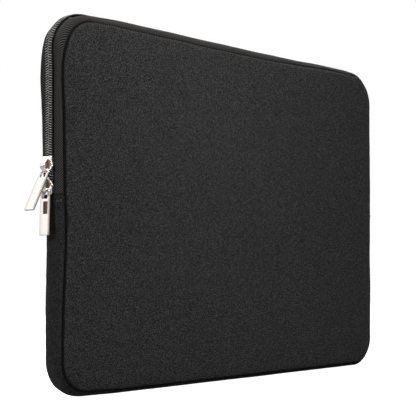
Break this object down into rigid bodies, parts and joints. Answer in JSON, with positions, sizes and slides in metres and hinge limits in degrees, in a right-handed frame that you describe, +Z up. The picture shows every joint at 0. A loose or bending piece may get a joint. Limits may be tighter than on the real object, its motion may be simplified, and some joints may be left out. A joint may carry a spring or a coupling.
{
  "type": "laptop sleeve",
  "caption": "Padded neoprene laptop sleeve standing on its long edge, with a coil zip over the top and down both sides, and flat metal pulls on facing sliders.",
  "frame": {"origin": "centre of the flat of the bottom edge that the sleeve stands on", "axes": "+Z up, +X to the right seen from the front, +Y towards the rear panel; the zip sliders are parked on the -X side"},
  "size_m": [0.3449, 0.0224, 0.2377],
  "materials": {
    "neoprene": "matt knitted jersey over neoprene foam",
    "lining": "brushed plush",
    "binding": "matt woven ribbon",
    "tape": "twill weave",
    "coil": "satin nylon filament",
    "cord": "twisted yarn",
    "tab": "matt folded fabric",
    "slider": "polished nickel plate",
    "pull": "polished nickel plate",
    "spring": "spring steel"
  },
  "bodies": {
    "sleeve": {"front_panel": "neoprene", "rear_panel": "neoprene", "front_lining": "lining", "rear_lining": "lining", "lower_gusset": "neoprene", "gusset_lining": "lining", "front_seam_binding": "binding", "rear_seam_binding": "binding", "front_zip_tape": "tape", "rear_zip_tape": "tape", "front_coil": "coil", "rear_coil": "coil", "front_coil_cord": "cord", "rear_coil_cord": "cord", "left_end_tab": "tab", "right_end_tab": "tab"},
    "lower_slider": {"lower_slider_body": "slider", "lower_slider_crown": "slider"},
    "upper_slider": {"upper_slider_body": "slider", "upper_slider_crown": "slider"},
    "lower_pull": {"lower_pull": "pull"},
    "upper_pull": {"upper_pull": "pull"},
    "lower_pin": {"lower_lock_pin": "spring"},
    "upper_pin": {"upper_lock_pin": "spring"}
  },
  "joints": [
    {"name": "lower_slider_run", "type": "slide", "parent": "sleeve", "child": "lower_slider", "axis": [0, 0, 1], "range_m": [0, 0.02]},
    {"name": "upper_slider_run", "type": "slide", "parent": "lower_slider", "child": "upper_slider", "axis": [0, 0, 1], "range_m": [0, 0.034]},
    {"name": "upper_pull_swing", "type": "hinge", "parent": "upper_slider", "child": "upper_pull", "pos_m": [-0.16689, 0, 0.13905], "axis": [0, 1, 0], "range_deg": [0, 115]},
    {"name": "lower_pull_swing", "type": "hinge", "parent": "lower_slider", "child": "lower_pull", "pos_m": [-0.16689, 0, 0.12715], "axis": [0, 1, 0], "range_deg": [0, 116]},
    {"name": "upper_pin_lift", "type": "slide", "parent": "upper_slider", "child": "upper_pin", "axis": [-1, 0, 0], "range_m": [0, 0.0004]},
    {"name": "lower_pin_lift", "type": "slide", "parent": "lower_slider", "child": "lower_pin", "axis": [-1, 0, 0], "range_m": [0, 0.0004]}
  ],
  "couplings": [
    {"joint": "lower_pull_swing", "follows": "upper_pull_swing", "ratio": 1},
    {"joint": "upper_pin_lift", "follows": "upper_pull_swing", "m_per_rad": 0.0001973},
    {"joint": "lower_pin_lift", "follows": "upper_pull_swing", "m_per_rad": 0.0001973}
  ]
}
